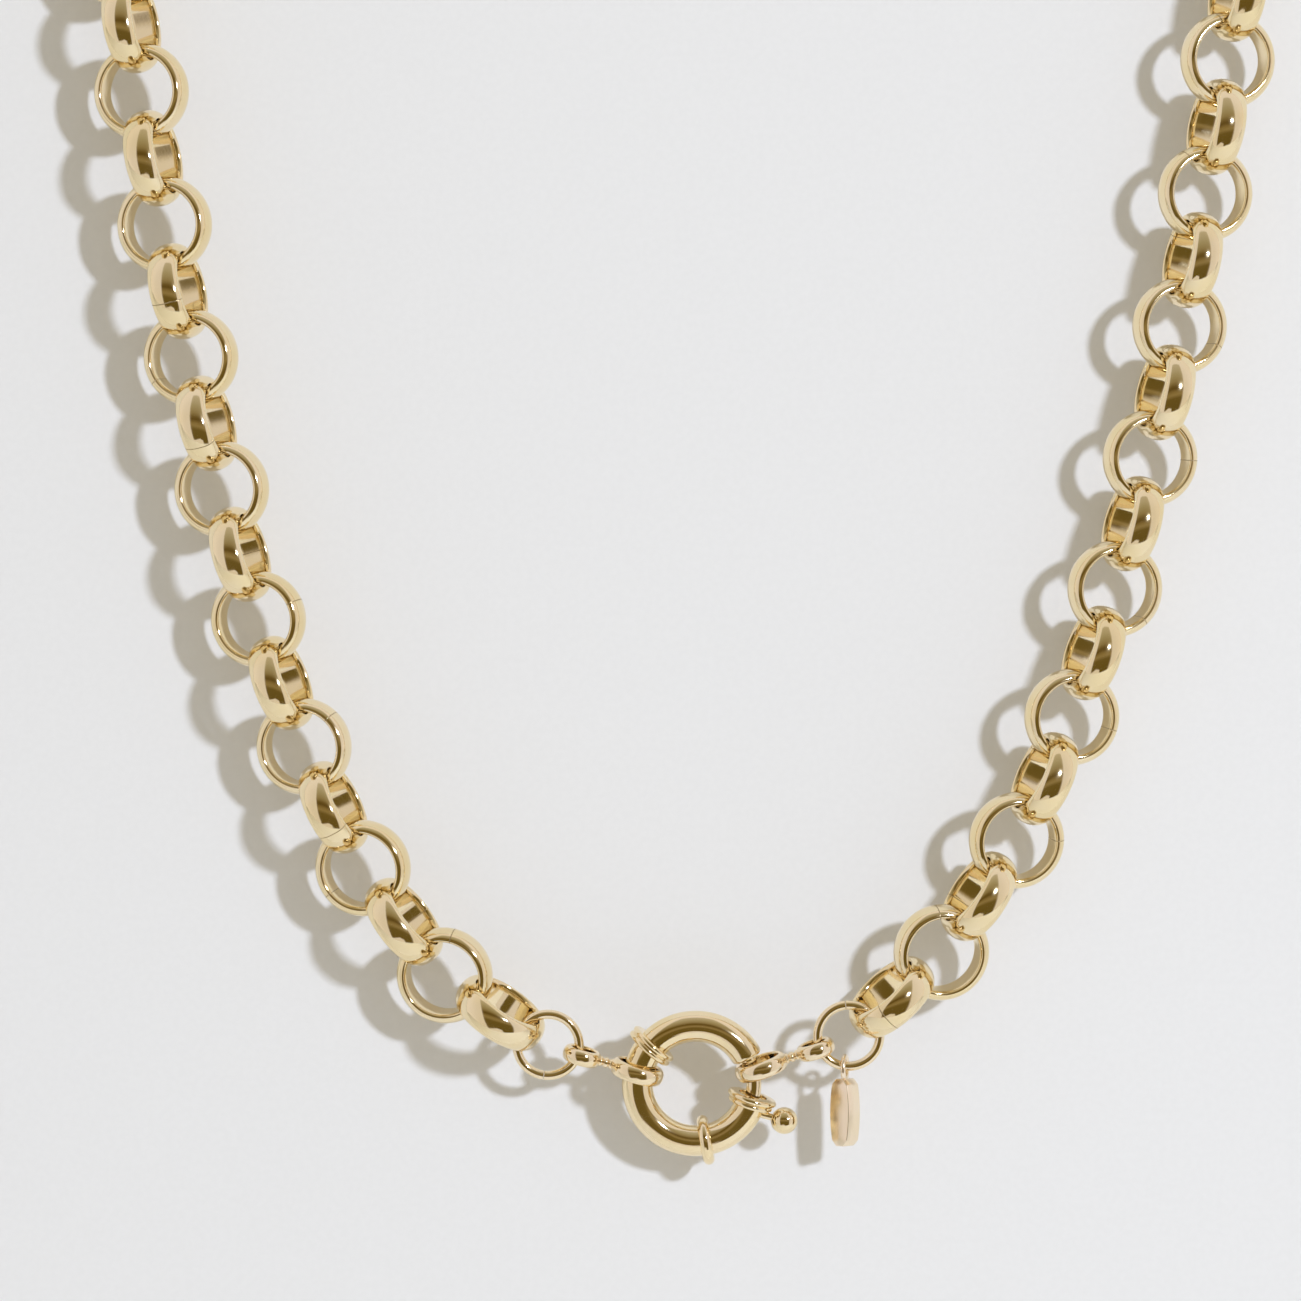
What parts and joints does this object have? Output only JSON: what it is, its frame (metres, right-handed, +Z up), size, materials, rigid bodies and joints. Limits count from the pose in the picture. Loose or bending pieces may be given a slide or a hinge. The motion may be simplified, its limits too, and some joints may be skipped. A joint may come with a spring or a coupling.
{
  "type": "rolo chain necklace with spring ring clasp",
  "caption": "Polished gold-tone rolo chain necklace, round domed links hooked through each other, closed by a large spring ring clasp with a ball lever, and a small bare tag on a jump ring.",
  "frame": {"origin": "the inside of the loop's crown, where the hanging necklace rests on what holds it up", "axes": "+Z up, +X to the viewer's right, +Y away from the viewer; the loop lies in the XZ plane with the clasp at its bottom"},
  "size_m": [0.1122, 0.0084, 0.194],
  "materials": {
    "chain_gold": "mirror polished",
    "clasp_gold": "mirror polished",
    "trim_gold": "polished"
  },
  "bodies": {
    "necklace": {"chain_left": "chain_gold", "chain_right": "chain_gold", "jump_ring_left": "trim_gold", "jump_ring_right": "trim_gold", "connector_left": "trim_gold", "connector_right": "trim_gold", "clasp_ring": "clasp_gold", "tag": "trim_gold"},
    "clasp_slide": {"clasp_tongue": "clasp_gold", "clasp_lever": "clasp_gold"}
  },
  "joints": [
    {"name": "clasp_lever_slide", "type": "hinge", "parent": "necklace", "child": "clasp_slide", "pos_m": [0.00116, 0.00046, -0.17873], "axis": [0, 0.9925, 0.1219], "range_deg": [0, 44], "stiffness_Nm_per_rad": 0.007, "springref_deg": -8.59}
  ]
}
